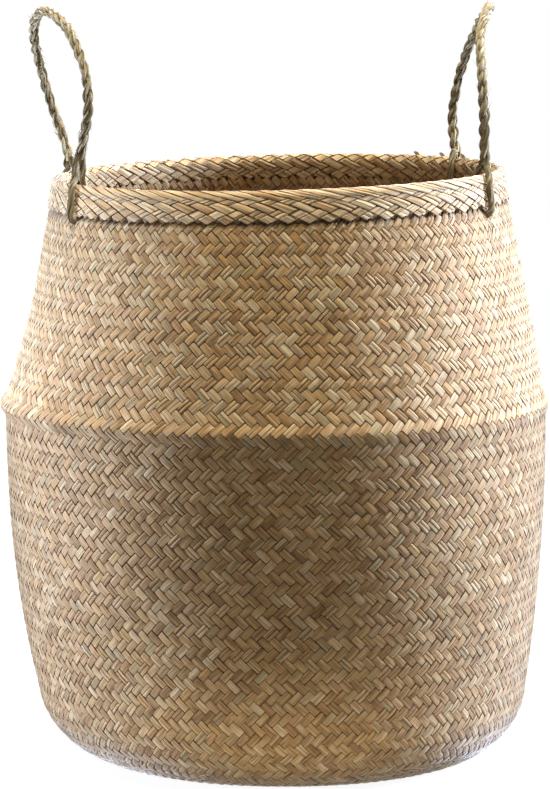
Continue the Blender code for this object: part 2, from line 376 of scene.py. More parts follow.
class WallProfile(Profile):
    """The plait's middle line from the middle of the base to the rim, with its outward normals."""

    samples = 3000
    curve_steps = 60
    # The crease's ridge: its width, and its height as a share of the one in the solids
    ridge_width, ridge_share = 0.0045, 0.7
    # Length over which corners are rounded, and the samples looked at on each side for it
    rounding, window = 0.0008, 8
    # How far under the border's edge the wall's plait starts to go deeper, and over what height it does
    tuck_start, tuck_run = 0.002, 0.0032

    def __init__(self, sizes):
        start = BASE_HIGH.x
        turn = np.linspace(0, math.pi / 2, self.curve_steps)[1:]
        out = np.sin(turn) ** HEEL_FULLNESS_SHARE
        up = 1 - np.cos(turn) ** HEEL_FULLNESS_SHARE
        heel = np.stack([start + (HEEL_HIGH.x - start) * out, HEEL_HIGH.z * up], 1)
        rise = np.linspace(0, 1, self.curve_steps)[1:]
        left = (1 - rise) ** BELLY_FULLNESS_SHARE
        belly_radius = BELLY_HIGH.x - (BELLY_HIGH.x - HEEL_HIGH.x) * left
        belly = np.stack([belly_radius, HEEL_HIGH.z + (WAIST_HEIGHT - HEEL_HIGH.z) * rise], 1)
        top = [[MOUTH_RADIUS, RIM_HEIGHT]]
        super().__init__(np.concatenate([[[0, 0], [start, 0]], heel, belly, top]), self.samples)
        self.waist = self.reach_at(WAIST_HEIGHT)
        self.sharpen_crease()
        self.soften_corners()
        self.find_normals()
        self.line -= self.normal * self.inset(sizes)[:, None]

    def sharpen_crease(self):
        """Pushes the line out at the waist."""
        ridge = np.exp(-(((self.reach - self.waist) / self.ridge_width) ** 2))
        self.line[:, 0] += self.ridge_share * (CREASE_HIGH.x - BELLY_HIGH.x) * ridge

    def soften_corners(self):
        """Rounds the line's corners by averaging it with its neighbours."""
        steps = np.arange(-self.window, self.window + 1) * self.reach[1]
        weights = np.exp(-((steps / self.rounding) ** 2))
        for i in range(2):
            padded = np.pad(self.line[:, i], self.window, mode="reflect", reflect_type="odd")
            self.line[:, i] = np.convolve(padded, weights / weights.sum(), "valid")

    def inset(self, sizes):
        """How deep the plait's middle lies under the solids' outer face."""
        height = self.line[:, 1]
        under = np.clip((height - BORDER_LOW.z + self.tuck_start) / self.tuck_run, 0, 1)
        under = under * (self.reach > self.waist)
        depth = sizes.inset + sizes.tuck_depth * under**2 * (3 - 2 * under)
        return depth + sizes.base_lift * np.clip(1 - height / HEEL_HIGH.z, 0, 1) ** 3

    def reach_at(self, height):
        return float(np.interp(height, self.line[:, 1], self.reach))


def neck_face(height):
    """The neck's outer radius at a height."""
    return MOUTH_RADIUS + NECK_SLOPE * (RIM_HEIGHT - height)


def settle(points, sizes):
    """Leans the rim a little and gives the wall its slight unevenness, for an array of points."""
    x, y, z = points[..., 0], points[..., 1], points[..., 2]
    rise = np.clip((z - WAIST_HEIGHT) / (RIM_HEIGHT - WAIST_HEIGHT), 0, SETTLED_TO)
    lean = (sizes.rim_rise * y + sizes.rim_lean * x) / (2 * MOUTH_RADIUS) - RIM_DROP
    angle = np.arctan2(y, x)
    high = np.clip(z / RIM_HEIGHT, 0, SETTLED_TO)
    wave = sum(
        size * np.sin(number * angle + turn + climb * high) for size, number, turn, climb in WALL_WAVES
    )
    wave *= np.clip(high * WAVES_GROW, 0, 1) * np.clip((WAVES_END - high) * WAVES_FADE, 0, 1)
    over_waist = (z - WAIST_HEIGHT) / WAIST_HEIGHT
    above = np.clip(1 - over_waist / POUT_OVER, 0, 1) ** 1.5
    below = np.exp(-((over_waist / POUT_UNDER) ** 2))
    pout = np.where(over_waist > 0, above, below)
    leftness = np.clip((1 - x / BELLY_HIGH.x) / 2, 0, 1) ** 1.6
    wave += sizes.waist_aside * pout * leftness
    wave -= sizes.hollow * np.exp(-(((over_waist - HOLLOW_MIDDLE) / HOLLOW_REACH) ** 2)) * leftness
    aside = sizes.heel_aside * np.clip(1 - high / HEEL_REACH, 0, 1) ** 1.6
    aside -= sizes.waist_aside * np.exp(-((over_waist / WAIST_REACH) ** 2)) / 2
    grown = 1 + wave / np.maximum(np.hypot(x, y), TINY)
    return np.stack([x * grown + aside, y * grown, z + lean * rise**2], -1)


class Strips:
    """Gathers strips and straws as closed tubes and turns them into meshes."""

    # A flat strip's corners: across as a share of half the width, up as a share of the thickness
    across = np.array([-1, -0.95, -0.5, 0.5, 0.95, 1, 0.9, -0.9])
    up = np.array([-0.3, 0.3, 0.5, 0.5, 0.3, -0.3, -0.5, -0.5])
    sharp_angle = math.radians(36)
    # A strip's distance round, its length over the height it climbs, and the room round it on the sheet
    girth = 0.012
    length_share = 1.4
    margin = 0.04

    def __init__(self):
        self.points, self.faces, self.corners = [], [], []
        self.places, self.tones, self.owner = [], [], []
        self.count = 0
        self.strips = 0

    def add(self, points, places, tones):
        """Adds one strip: points (sections, sides, 3), places and tones alike, the third tone setting its
        painted shade. Its ends are closed.
        """
        sections, sides = points.shape[:2]
        section, side = np.meshgrid(np.arange(sections - 1), np.arange(sides), indexing="ij")
        following = (side + 1) % sides
        first = self.count + section * sides
        rims = (first + side, first + sides + side, first + sides + following, first + following)
        quads = np.stack(rims, -1)
        self.faces.append(quads.reshape(-1, 4))
        ends = np.stack([section, section + 1, section + 1, section], -1) / (sections - 1)
        rounds = np.stack([side, side, side + 1, side + 1], -1) / sides
        self.corners.append(np.stack([ends, rounds], -1).reshape(-1, 4, 2))
        self.owner.append(np.full(quads.shape[0] * quads.shape[1], self.strips))
        for start in (0, sections - 1):
            ring = self.count + start * sides + np.arange(sides)
            ring = ring if start == 0 else ring[::-1]
            fans = range(1, sides - 2, 2)
            caps = np.array([[ring[0], ring[i], ring[i + 1], ring[i + 2]] for i in fans])
            self.faces.append(caps)
            self.corners.append(np.full((len(caps), 4, 2), start / (sections - 1)))
            self.owner.append(np.full(len(caps), self.strips))
        self.points.append(points.reshape(-1, 3))
        self.places.append(places.reshape(-1, 3))
        self.tones.append(tones.reshape(-1, 3))
        self.count += sections * sides
        self.strips += 1

    def join(self):
        """One array of each kind, for cutting into pieces."""
        for kind in ("points", "faces", "corners", "places", "tones", "owner"):
            setattr(self, kind, np.concatenate(getattr(self, kind)))
        return self

    def middles(self):
        return self.points[self.faces].mean(axis=1)

    def piece(self, name, material, chosen=None):
        """A mesh object of the chosen faces."""
        chosen = np.ones(len(self.faces), bool) if chosen is None else chosen
        faces = self.faces[chosen]
        used, index = np.unique(faces, return_inverse=True)
        index = index.reshape(-1, 4)
        mesh = bpy.data.meshes.new(name)
        mesh.vertices.add(len(used))
        mesh.vertices.foreach_set("co", self.points[used].astype(np.float32).ravel())
        size = np.where(index[:, 3] == index[:, 2], 3, 4)
        keep = np.arange(4)[None, :] < size[:, None]
        mesh.loops.add(int(size.sum()))
        mesh.loops.foreach_set("vertex_index", index[keep].astype(np.int32))
        mesh.polygons.add(len(size))
        mesh.polygons.foreach_set("loop_start", (np.cumsum(size) - size).astype(np.int32))
        mesh.polygons.foreach_set("use_smooth", np.ones(len(size), bool))
        mesh.update(calc_edges=True)
        mesh.set_sharp_from_angle(angle=self.sharp_angle)
        # The second attribute holds each point's tone, tint and the number that sets its painted shade
        for attribute, values in (("strip_place", self.places), ("strip_tone", self.tones)):
            layer = mesh.attributes.new(attribute, "FLOAT_VECTOR", "POINT")
            layer.data.foreach_set("vector", values[used].astype(np.float32).ravel())
        layer = mesh.uv_layers.new(name="OFBake")
        layer.uv.foreach_set("vector", self.sheet(chosen)[keep].astype(np.float32).ravel())
        mesh.materials.append(material)
        made = bpy.data.objects.new(name, mesh)
        bpy.context.scene.collection.objects.link(made)
        return made

    def sheet(self, chosen):
        """Lays each strip's faces out flat in its own cell of a square."""
        owners, index = np.unique(self.owner[chosen], return_inverse=True)
        corners = self.corners[chosen].copy()
        low = np.full(len(owners), np.inf)
        high = np.full(len(owners), -np.inf)
        np.minimum.at(low, index, corners[:, :, 0].min(axis=1))
        np.maximum.at(high, index, corners[:, :, 0].max(axis=1))
        reach = np.maximum(high - low, TINY)
        corners[:, :, 0] = (corners[:, :, 0] - low[index, None]) / reach[index, None]
        height = np.ptp(self.points[self.faces[chosen]][:, :, 2])
        length = max(height * self.length_share, self.girth)
        columns = max(1, round(math.sqrt(len(owners) * self.girth / length)))
        rows = math.ceil(len(owners) / columns)
        cell = np.stack([index % columns, index // columns], -1)[:, None, :]
        return (cell + self.margin + corners * (1 - 2 * self.margin)) / (columns, rows)


def strip_stations(first, last, over):
    """Where a strip has its sections, and how far out it lies at each, as a share of the weave's depth.

    first and last are whole crossings, and over says at which of them the strip lies outside.
    """
    side = np.where(over, 1, -1)
    stations, heights = [first], [END_HEIGHT * side[0]]
    for i in range(len(over) - 1):
        if over[i] == over[i + 1]:
            stations.append(first + i + 0.5)
            heights.append(FLOAT_HEIGHT * side[i])
        else:
            stations += [first + i + DIVE_START, first + i + DIVE_END]
            heights += [DIVE_HEIGHT * side[i], -DIVE_HEIGHT * side[i]]
    stations.append(last)
    heights.append(END_HEIGHT * side[-1])
    return np.array(stations, float), np.array(heights, float)


class Plait:
    """The whole plait of the base and the wall, on one lattice."""

    first_corner = -0.75 * math.pi
    # Size and rates of each slow change along a strip: its place, its width and its tilt
    wobble, wobble_rates = 0.045, (0.13, 0.29, 0.53)
    swell, swell_rates = 0.07, (0.21, 0.47)
    roll, roll_rates = 0.10, (0.37, 0.61)
    # Places of two thin strips in the room of one, and how much narrower they are
    halves = (-0.25, 0.25)
    narrowing = 0.94
    # How unlike the strips are in width and in tone, and the height over which the painted light on the neck
    # grows in at the waist
    width_spread, tone_spread = 0.03, 0.15
    paling_height = 0.01

    def __init__(self, sizes):
        self.sizes = sizes
        self.profile = WallProfile(sizes)
        self.pitch = 2 * sizes.row
        steady = self.pitch * (ROWS_TO_WAIST / 2 - SETTLING)
        self.edge = (self.profile.waist - steady) / (1 + SETTLING / HALF_SIDE)
        top = self.profile.reach_at(BORDER_LOW.z + PLAIT_TUCK)
        self.rows = int((top - self.edge) / sizes.row)

    def wall_reach(self, climb):
        """Distance along the wall's middle line, from lattice squares above the base's edge."""
        extra = (self.edge / HALF_SIDE - self.pitch) * SETTLING
        return self.edge + self.pitch * climb + extra * (1 - np.exp(-climb / SETTLING))

    def angle_of(self, turn):
        """Angle of a place round the wall, counted in strips from the base's front left corner."""
        return math.tau * turn / ROUND + self.first_corner

    def on_base(self, x, y):
        """Angle and distance along the middle line for a lattice place on the base.

        The lattice is square in the middle, and turns into the wall's round one towards the base's edge.
        """
        reach = np.maximum(np.maximum(abs(x), abs(y)) / HALF_SIDE, TINY)
        flat_x, flat_y = x / reach, y / reach
        turn = np.where(
            abs(y) >= abs(x),
            np.where(y < 0, HALF_SIDE + flat_x, 5 * HALF_SIDE - flat_x),
            np.where(x > 0, 3 * HALF_SIDE + flat_y, 7 * HALF_SIDE - flat_y),
        )
        angle = self.angle_of(turn)
        blend = np.clip(reach, 0, 1.2) ** 3
        east = blend * reach * self.edge * np.cos(angle) + (1 - blend) * x * self.sizes.base_pitch
        north = blend * reach * self.edge * np.sin(angle) + (1 - blend) * y * self.sizes.base_pitch
        return np.arctan2(north, east), np.hypot(east, north)

    def on_wall(self, x, y, side):
        """Angle and distance along the middle line for a lattice place on the wall over one side."""
        turn, climb = {
            "front": (x + HALF_SIDE, -HALF_SIDE - y),
            "right": (3 * HALF_SIDE + y, x - HALF_SIDE),
            "back": (5 * HALF_SIDE - x, y - HALF_SIDE),
            "left": (7 * HALF_SIDE - y, -HALF_SIDE - x),
        }[side]
        return self.angle_of(turn), self.wall_reach(climb)

    def strip(self, rising, line, shift, half_width, phases):
        """The sections of one strip from rim to rim. rising strips keep x + y, the others x - y."""
        edge = 2 * HALF_SIDE - abs(line)
        end = edge + self.rows
        crossings = np.arange(-end, end + 0.5)
        ring = (abs(line) + abs(crossings) - 2 * HALF_SIDE) % TWILL < TWILL / 2
        over = ring ^ (line * crossings > 0)
        if not rising:
            over = ~over
        along, height = strip_stations(-end, end, over)
        wobble = self.wobble * plain_sines(along, self.wobble_rates, phases)
        widths = half_width * (1 + self.swell * plain_sines(along, self.swell_rates, phases[1:]))
        middle = line + shift + wobble
        lines = middle[:, None] + widths[:, None] * Strips.across
        alongs = np.broadcast_to(along[:, None], lines.shape)
        x = (lines + alongs) / 2
        y = (lines - alongs) / 2 if rising else (alongs - lines) / 2
        angle, reach = self.on_base(x, y)
        if rising:
            ends = ("front", "left") if line < 0 else ("right", "back")
        else:
            ends = ("right", "front") if line > 0 else ("back", "left")
        for side, on_it in zip(ends, (along > edge - TINY, along < TINY - edge)):
            angle[on_it], reach[on_it] = self.on_wall(x[on_it], y[on_it], side)
        roll = self.roll * plain_sines(along, self.roll_rates, phases[::-1])
        out = self.sizes.depth * height[:, None] + self.sizes.thickness * Strips.up
        out = out + self.sizes.thickness * roll[:, None] * Strips.across
        return settle(round_middle(angle, *self.profile.at(reach, out)), self.sizes), along

    def make(self):
        """All the strips, one or two for each line of the lattice."""
        rng = np.random.default_rng(self.sizes.seed)
        strips = Strips()
        room = self.sizes.row * math.sqrt(2)
        for rising in (True, False):
            for line in np.arange(0.5 - 2 * HALF_SIDE, 2 * HALF_SIDE):
                doubled = rng.random() < self.sizes.doubled
                parts = self.halves if doubled else (0,)
                room_share = self.sizes.width * (self.narrowing if doubled else 1)
                tone, tint = rng.random(2)
                for shift in parts:
                    half_width = room_share / 2 / len(parts) * rng.normal(1, self.width_spread)
                    phases = rng.uniform(0, math.tau, 3)
                    points, along = self.strip(rising, line, shift, half_width, phases)
                    mark = rng.uniform(0, MARKS)
                    own = np.clip((tone, tint) + rng.normal(0, self.tone_spread, 2), 0, 1)
                    # Painted light on the neck, growing in over a short height at the waist, where the wall
                    # turns to face upwards.
                    over_waist = points[..., 2] - WAIST_HEIGHT
                    on_neck = np.clip(over_waist / self.paling_height + 0.5, 0, 1)
                    shape = points.shape[:2]
                    across = Strips.across * half_width * room
                    places = spread(shape, along[:, None] * room, across, mark)
                    tone_here = own[0] + self.sizes.paler * on_neck
                    # The third tone, the strip's across squared, sets the painted shade on its side walls.
                    strips.add(points, places, spread(shape, tone_here, own[1], Strips.across**2))
        return strips.join()


class Border:
    """The border, whose own strips run up outside the rim, over it and down inside, from point to point."""

    # Size and rates of each slow change along a strip: its place and its width
    wobble, wobble_rates = 0.05, (0.9, 1.7)
    swell, swell_rates = 0.08, (0.8, 1.9)
    # Crossings in which the border's weave repeats
    repeat = 3
    # Places of two thin strips in the room of one
    halves = (-0.24, 0.24)
    # How far the points reach past the last crossing
    tip = 0.0036
    # How far out a rising and a falling strip ends, how far past the crossing in half widths, and how thick
    end_heights = {True: -0.55, False: 0.35}
    end_reach = {True: 0.1, False: 0.95}
    end_thickness = 0.7
    # How unlike the strips are in width, and the range of their tones
    width_spread = 0.04
    tones = (0.95, 1.75)
    # Points on the fold over the rim, and on the whole of the middle line
    arc_points, samples = 24, 600

    def __init__(self, sizes, plait_sizes):
        self.sizes, self.plait_sizes = sizes, plait_sizes
        low = BORDER_LOW.z + self.tip
        inner_low = RIM_HEIGHT - sizes.inner_height + self.tip
        outer = np.array([neck_face(low) + sizes.outer, low])
        inner = np.array([neck_face(inner_low) - sizes.inner, inner_low])
        radius = (sizes.outer + sizes.inner) / 2
        shoulder = RIM_HEIGHT - radius - sizes.depth
        middle = neck_face(shoulder) + (sizes.outer - sizes.inner) / 2
        turn = np.linspace(0, math.pi, self.arc_points)
        arc = np.stack([middle + radius * np.cos(turn), shoulder + radius * np.sin(turn)], 1)
        self.profile = Profile(np.concatenate([[outer], arc, [inner]]), self.samples)
        self.length = self.profile.reach[-1]
        self.squares = sizes.rows / 2
        self.climb = self.length / self.squares

    def at(self, turn, climb, out):
        """A place on the folded band, from points round it and lattice squares up from its outer edge."""
        crowding = self.sizes.crowding
        waves = math.tau * np.clip(climb / self.squares, 0, 1)
        crowded = crowding * self.squares / math.tau * np.sin(waves)
        ends = crowding * (climb - np.clip(climb, 0, self.squares))
        reach = (climb + crowded + ends) * self.climb
        kept = np.clip(reach, 0, self.length)
        radius, height = self.profile.at(kept, out)
        past = abs(reach - kept)
        angle = math.tau * turn / self.sizes.points
        return settle(round_middle(angle, radius + NECK_SLOPE * past, height - past), self.plait_sizes)

    def strip(self, rising, line, shift, half_width, phases):
        """The sections of one strip from its outer to its inner point."""
        rows = self.sizes.rows
        crossings = np.arange(rows + 1)
        over = (crossings % self.repeat == 1) & (crossings != rows // 2)
        if not rising:
            over = ~over
        over[0] = over[-1] = not rising
        station, height = strip_stations(0, rows, over)
        station[[0, -1]] += half_width * self.end_reach[rising] * np.array([-1, 1])
        wobble = self.wobble * plain_sines(station + line, self.wobble_rates, phases)
        widths = half_width * (1 + self.swell * plain_sines(station, self.swell_rates, phases[1:]))
        offsets = shift + wobble[:, None] + widths[:, None] * Strips.across
        climb = np.broadcast_to(station[:, None] / 2, offsets.shape)
        slant = 1 if rising else -1
        turn = line + slant * climb + offsets / 2
        climb = climb - slant * offsets / 2
        height[[0, -1]] = self.end_heights[rising]
        thickness = np.full(len(station), self.sizes.thickness)
        thickness[[0, -1]] *= self.end_thickness
        out = self.sizes.depth * height[:, None] + thickness[:, None] * Strips.up
        return self.at(turn, climb, out), station

    def make(self):
        """All the border's strips, and the loose ends behind the rim."""
        rng = np.random.default_rng(self.plait_sizes.seed + 1)
        strips = Strips()
        run = math.tau * neck_face(BORDER_LOW.z) / self.sizes.points
        slant = math.hypot(run, self.climb)
        across_room = run * self.climb / slant
        for rising in (True, False):
            for line in range(self.sizes.points):
                parts = self.halves if rng.random() < self.sizes.doubled else (0,)
                for shift in parts:
                    room_share = self.sizes.width / 2 / len(parts)
                    half_width = room_share * rng.normal(1, self.width_spread)
                    phases = rng.uniform(0, math.tau, 3)
                    points, station = self.strip(rising, line, shift, half_width, phases)
                    mark, tone, tint = rng.uniform(0, MARKS), rng.uniform(*self.tones), rng.random()
                    shape = points.shape[:2]
                    across = Strips.across * half_width * across_room
                    places = spread(shape, station[:, None] * slant / 2, across, mark)
                    # The third tone, the strip's across squared, sets the painted shade on its side walls.
                    strips.add(points, places, spread(shape, tone, tint, Strips.across**2))
        for angle in LOOSE_ENDS:
            self.loose_end(strips, math.radians(angle))
        return strips.join()

    def loose_end(self, strips, angle):
        """A pointed strip end that stands up a little from the rim."""
        turn_run, rise, length, sunk = 0.046, 0.0034, 0.008, 0.0006
        half_width, point_width, thickness = 0.0017, 0.0002, 0.0005
        # edge would set painted shade on the side walls; at 0.3 it paints none.
        tone, tint, edge = -0.5, 0.95, 0.3
        t = np.linspace(0, 1, 5)
        turn = angle + turn_run * (t - 0.5)
        middle = round_middle(turn, MOUTH_RADIUS - thickness, RIM_HEIGHT - sunk + rise * t)
        outward = round_middle(turn, 1, 0 * turn)
        half = half_width * np.sin(math.pi * t) + point_width
        across = Strips.across * half[:, None]
        points = middle[:, None, :] + across[..., None] * np.array([0, 0, 1])
        points = points + (Strips.up * thickness)[None, :, None] * outward[:, None, :]
        shape = points.shape[:2]
        places = spread(shape, t[:, None] * length, across, angle)
        strips.add(settle(points, self.plait_sizes), places, spread(shape, tone, tint, edge))


def smooth_line(points, steps):
    """Points on the smooth curve through the given ones, with that many steps between neighbours."""
    line = []
    for i in range(len(points) - 1):
        before, start = points[max(i - 1, 0)], points[i]
        end, after = points[i + 1], points[min(i + 2, len(points) - 1)]
        for step in range(steps):
            t = step / steps
            bend = (2 * before - 5 * start + 4 * end - after) * t**2
            twist = (3 * start - before - 3 * end + after) * t**3
            line.append((2 * start + (end - before) * t + bend + twist) / 2)
    line.append(points[-1])
    return np.array(line)


def frames_along(line, start):
    """Two directions square to a line at each point, carried along it without twist."""
    along = directions(line)
    first = np.zeros_like(line)
    held = np.array(start, float)
    for i, way in enumerate(along):
        held = held - way * (held @ way)
        held /= np.linalg.norm(held)
        first[i] = held
    return first, np.cross(along, first)


class Ropes:
    """Makes straws in bundles and adds them to a set of strips."""

    corners = np.arange(6) / 6 * math.tau
    spacing = 0.0011
    # Size and rates of each slow change along a straw: its thickness, its way round the ply and how far out
    swell, swell_rates = 0.16, (420, 730, 210)
    wander, wander_rates = 0.35, (160, 330)
    lift, lift_rates = 0.18, (240, 410)
    # How flat a straw is, and by how many radians a metre that flatness turns
    flatness, flat_turn = 0.22, 90
    # Distance from the rope's middle at which the painted shade between the straws ends, and over which the
    # straws come clear of it
    groove_start, groove_run = 0.0017, 0.0024
    # How unlike a ply's straws are in their place round it, their thickness and their tone
    turn_spread, straw_spread, tone_spread = 0.25, 0.1, 0.3
    # Tone of the straw within each ply, and the range of the plies' own tones
    filler_tone, ply_tones = 0.1, (0.35, 0.65)
    # Turns of a ply's straws against the turns of the rope
    back_twist = -1.15
    # A foot's ply: turn of its straws in radians a metre, its tone, and how far beside its middle lies the
    # core towards which its straws darken with painted shade
    foot_twist, foot_tone, foot_groove = 90, 0.45, 0.002
    # Loose fibre ends: the ranges of their length, of their lift as a share of it, of their radius and tone,
    # how far from the rope's middle they start, and the radius at the tip as a share of that at the start
    hair_lengths, hair_lifts = (0.003, 0.0075), (0.15, 0.6)
    hair_radii, hair_tones = (0.00016, 0.0003), (0.1, 0.9)
    hair_start, hair_tip = 0.0034, 0.25
    # Points along each, their tint, the share of their colour kept clear of the painted shade, and how many
    # of the rope's points at its ends have none
    hair_points, hair_tint, hair_groove, hairless = 5, 0.5, 0.8, 4

    def __init__(self, sizes, seed):
        self.sizes = sizes
        self.rng = np.random.default_rng(seed)
        self.strips = Strips()

    def straw(self, line, places, core, radius, tone, tint):
        """One straw. core is the rope's middle beside each point, towards which the straw's colour gets
        painted shade.
        """
        phases = self.rng.uniform(0, math.tau, 3)
        swell = 1 + self.swell * plain_sines(places, self.swell_rates, phases)
        spin = (phases[0] + places * self.flat_turn)[:, None]
        flat = 1 + self.flatness * np.cos(2 * (self.corners - spin))
        points = self.tube(line, radius * swell[:, None] * flat, self.corners + spin, (0.3, 0.2, 1))
        shape = points.shape[:2]
        depth = np.linalg.norm(points - core[:, None, :], axis=-1)
        # How far this point's colour is kept clear of the painted shade towards the rope's middle
        groove = np.clip((depth - self.groove_start) / self.groove_run, 0, 1)
        mark = self.rng.uniform(0, MARKS)
        spots = spread(shape, places[:, None], abs(self.corners - math.pi) * radius, mark)
        self.strips.add(points, spots, spread(shape, tone, tint, groove))

    def tube(self, line, radius, turn, start):
        """The corners of a tube round a line, at each corner's own radius and turn."""
        first, second = frames_along(line, start)
        return line[:, None, :] + radius[..., None] * turned(turn, first[:, None, :], second[:, None, :])

    def ply(self, line, places, core, toward, tone, twist):
        """Straws round a line, twisted by so many radians a metre against the direction toward."""
        along = directions(line)
        first = toward - along * (toward * along).sum(axis=1)[:, None]
        first /= np.linalg.norm(first, axis=1)[:, None]
        second = np.cross(along, first)
        self.straw(line, places, core, self.sizes.straw_offset, self.filler_tone, 0)
        for i in range(self.sizes.straws):
            start = math.tau * i / self.sizes.straws + self.rng.normal(0, self.turn_spread)
            phases = self.rng.uniform(0, math.tau, 3)
            turn = start + places * twist + self.wander * plain_sines(places, self.wander_rates, phases)
            lift = 1 + self.lift * plain_sines(places, self.lift_rates, phases)
            offset = self.sizes.straw_offset * lift
            middle = line + offset[:, None] * turned(turn, first, second)
            radius = self.sizes.straw * self.rng.normal(1, self.straw_spread)
            own = np.clip(tone + self.rng.normal(0, self.tone_spread), 0, 1)
            self.straw(middle, places, core, radius, own, self.rng.random())

    def rope(self, route):
        """Two plies twisted about a route. Returns the rope's middle line."""
        line, places = evenly(route, self.spacing)
        first, second = frames_along(line, (0, 1, 0.2))
        lay = math.tau / self.sizes.lay
        for half in (0, math.pi):
            toward = turned(half + places * lay, first, second)
            tone = self.rng.uniform(*self.ply_tones)
            middle = line + toward * self.sizes.ply_offset
            self.ply(middle, places, line, toward, tone, self.back_twist * lay)
        return line

    def hairs(self, line, number):
        """Loose fibre ends that stand off a rope."""
        along = directions(line)
        for spot in self.rng.integers(self.hairless, len(line) - self.hairless, number):
            out = self.rng.normal(size=3)
            out -= along[spot] * (out @ along[spot])
            out /= np.linalg.norm(out)
            way = along[spot] * self.rng.choice((-1, 1))
            reach = self.rng.uniform(*self.hair_lengths)
            t = np.linspace(0, 1, self.hair_points)[:, None]
            start = line[spot] + out * self.hair_start
            hair = start + way * reach * t + out * reach * self.rng.uniform(*self.hair_lifts) * t**1.6
            thinning = np.linspace(1, self.hair_tip, self.hair_points)
            radius = self.rng.uniform(*self.hair_radii) * thinning
            points = self.tube(hair, radius[:, None], self.corners[None, :], out)
            shape = points.shape[:2]
            mark = self.rng.uniform(0, MARKS)
            tone = self.rng.uniform(*self.hair_tones)
            tones = spread(shape, tone, self.hair_tint, self.hair_groove)
            self.strips.add(points, spread(shape, mark, mark, mark), tones)


class Handle:
    """Where one handle's loop and its feet are."""

    def __init__(self, side, feet, crotches, shares, slope):
        self.side = side
        self.name = "left" if side < 0 else "right"
        self.angles = dict(zip(("front", "back"), feet))
        front, back = (self.on_rim(angle, FOOT_RADIUS, FOOT_HEIGHT) for angle in feet)
        middle, half = (front + back) / 2, (front - back) / 2
        outward = np.array([side * abs(half[1]), side * -half[0] * math.copysign(1, half[1]), 0])
        outward /= np.linalg.norm(outward)
        up = np.array([0, 0, 1])
        points = [front]
        for along, rise, lean in shares:
            points.append(middle + half * along + up * LOOP_RISE * rise + outward * LOOP_LEAN * lean)
        points.append(back)
        route = smooth_line(points, LOOP_STEPS)
        crotch = np.where(np.arange(len(route)) < len(route) // 2, *crotches)
        route = route[route[:, 2] > FOOT_HEIGHT + crotch]
        self.route = route + up * route[:, :1] * slope

    def on_rim(self, angle, radius, height):
        turn = math.radians(angle)
        return np.array([self.side * radius * math.cos(turn), radius * math.sin(turn), height])


def sums(operation):
    """The methods for one sign, with this value before it and after it."""

    def before(self, other):
        return self.shading.node("ShaderNodeMath", {"operation": operation}, {0: self, 1: other})

    def after(self, other):
        return self.shading.node("ShaderNodeMath", {"operation": operation}, {0: other, 1: self})

    return before, after


class Link:
    """An output socket that can be used in sums and products."""

    def __init__(self, shading, socket):
        self.shading, self.socket = shading, socket

    __add__, __radd__ = sums("ADD")
    __sub__, __rsub__ = sums("SUBTRACT")
    __mul__, __rmul__ = sums("MULTIPLY")

    def kept(self):
        """This value, kept between 0 and 1."""
        return self.shading.node("ShaderNodeClamp", {}, {"Value": self, "Min": 0, "Max": 1})


class Shading:
    """A tree of shader nodes, built up from expressions."""

    def __init__(self, tree):
        self.tree = tree

    def node(self, kind, settings=None, sockets=None, out=0):
        """Adds a node with its settings and the values or links of its sockets. Returns one output."""
        made = self.tree.nodes.new(kind)
        for name, value in (settings or {}).items():
            if name == "stops":
                self.fill(made.color_ramp, value)
            else:
                setattr(made, name, value)
        for key, value in (sockets or {}).items():
            self.feed(made.inputs[key], value)
        return Link(self, made.outputs[out])

    def fill(self, ramp, stops):
        while len(ramp.elements) < len(stops):
            ramp.elements.new(0.5)
        for element, (place, shade) in zip(ramp.elements, stops):
            element.position = place
            element.color = (*shade, 1)

    def feed(self, socket, value):
        if isinstance(value, Link):
            self.tree.links.new(value.socket, socket)
        elif hasattr(value, "__len__") and len(value) == 3 and socket.type == "RGBA":
            socket.default_value = (*value, 1)
        else:
            socket.default_value = value

    def mix(self, amount, first, second, how="MIX"):
        """A mix of two colours."""
        settings = {"data_type": "RGBA", "blend_type": how}
        return self.node("ShaderNodeMix", settings, {0: amount, 6: first, 7: second}, out=2)

    def seen(self):
        """1 for rays from the camera, also those off something glossy or through glass, and 0 for light."""
        kinds = ("Is Camera Ray", "Is Glossy Ray", "Is Transmission Ray")
        camera, glossy, through = [self.node("ShaderNodeLightPath", out=kind) for kind in kinds]
        return (camera + glossy + through).kept()


class Finish(Shading):
    """One material."""

    def __init__(self, name):
        self.material = bpy.data.materials.new(name)
        self.material.use_nodes = True
        super().__init__(self.material.node_tree)
        self.surface = self.tree.nodes["Principled BSDF"]

    def set(self, **values):
        """Sets the surface's sockets, named with _ for each space, to values or links."""
        for name, value in values.items():
            self.feed(self.surface.inputs[name.replace("_", " ")], value)

    def attribute(self, name):
        """A vector attribute and its three numbers."""
        vector = self.node("ShaderNodeAttribute", {"attribute_name": name}, out="Vector")
        split = self.tree.nodes.new("ShaderNodeSeparateXYZ")
        self.tree.links.new(vector.socket, split.inputs[0])
        return vector, [Link(self, output) for output in split.outputs]

    def noise(self, vector, stretch, detail=2, roughness=0.5):
        """Noise on a vector that is first stretched by three numbers."""
        stretched = self.node("ShaderNodeVectorMath", {"operation": "MULTIPLY"}, {0: vector, 1: stretch})
        sockets = {"Vector": stretched, "Scale": 1, "Detail": detail, "Roughness": roughness}
        return self.node("ShaderNodeTexNoise", {}, sockets)

    def relief(self, height, strength, depth):
        """A bump from a height between 0 and 1."""
        sockets = {"Height": height, "Strength": strength, "Distance": depth}
        self.set(Normal=self.node("ShaderNodeBump", {}, sockets))


